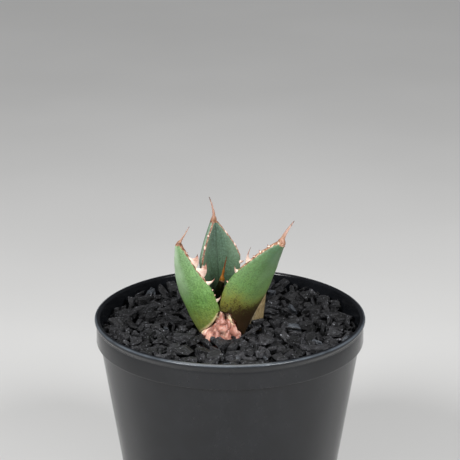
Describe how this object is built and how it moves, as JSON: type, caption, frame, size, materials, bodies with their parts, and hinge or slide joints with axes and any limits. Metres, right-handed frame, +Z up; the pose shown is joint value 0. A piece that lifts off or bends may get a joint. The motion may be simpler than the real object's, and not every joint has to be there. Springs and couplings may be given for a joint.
{
  "type": "potted agave",
  "caption": "Young potted agave: thick clasping leaves with spines and toothed edges on a short callused stem, standing in a round tapered pot of soil topped with charcoal chips.",
  "frame": {"origin": "centre of the pot's foot, on the surface it stands on", "axes": "+Z up along the pot's axis, -Y towards the front, where the callused stem shows, +X to the right seen from the front"},
  "size_m": [0.105, 0.105, 0.1357],
  "materials": {
    "black_plastic": "glossy moulded plastic",
    "potting_soil": "loose and matte",
    "charcoal": "broken, with some shiny facets",
    "stem_flesh": "moist, wrinkled callus",
    "root_skin": "matte",
    "green_leaf": "satin, with a pale bloom",
    "dry_leaf": "dry and fibrous"
  },
  "bodies": {
    "root": {"charcoal_bed": "charcoal", "charcoal_chip_01": "charcoal", "charcoal_chip_02": "charcoal", "charcoal_chip_03": "charcoal", "charcoal_chip_04": "charcoal", "charcoal_chip_05": "charcoal", "charcoal_chip_06": "charcoal", "charcoal_chip_07": "charcoal", "charcoal_chip_08": "charcoal", "charcoal_chip_09": "charcoal", "charcoal_chip_10": "charcoal", "charcoal_chip_11": "charcoal", "charcoal_chip_12": "charcoal", "charcoal_chip_13": "charcoal", "charcoal_chip_14": "charcoal", "charcoal_chip_15": "charcoal", "charcoal_chip_16": "charcoal", "charcoal_chip_17": "charcoal", "charcoal_chip_18": "charcoal", "charcoal_chip_19": "charcoal", "charcoal_chip_20": "charcoal", "charcoal_chip_21": "charcoal", "charcoal_chip_22": "charcoal", "charcoal_chip_23": "charcoal", "charcoal_chip_24": "charcoal", "charcoal_chip_25": "charcoal", "charcoal_chip_26": "charcoal", "charcoal_chip_27": "charcoal", "charcoal_chip_28": "charcoal", "charcoal_chip_29": "charcoal", "charcoal_chip_30": "charcoal", "charcoal_chip_31": "charcoal", "charcoal_chip_32": "charcoal", "leaf_back": "green_leaf", "leaf_dry": "dry_leaf", "leaf_left": "green_leaf", "leaf_right": "green_leaf", "leaf_young": "green_leaf", "pot": "black_plastic", "root_1": "root_skin", "root_2": "root_skin", "root_3": "root_skin", "root_4": "root_skin", "root_5": "root_skin", "soil": "potting_soil", "stem": "stem_flesh"}
  },
  "joints": []
}
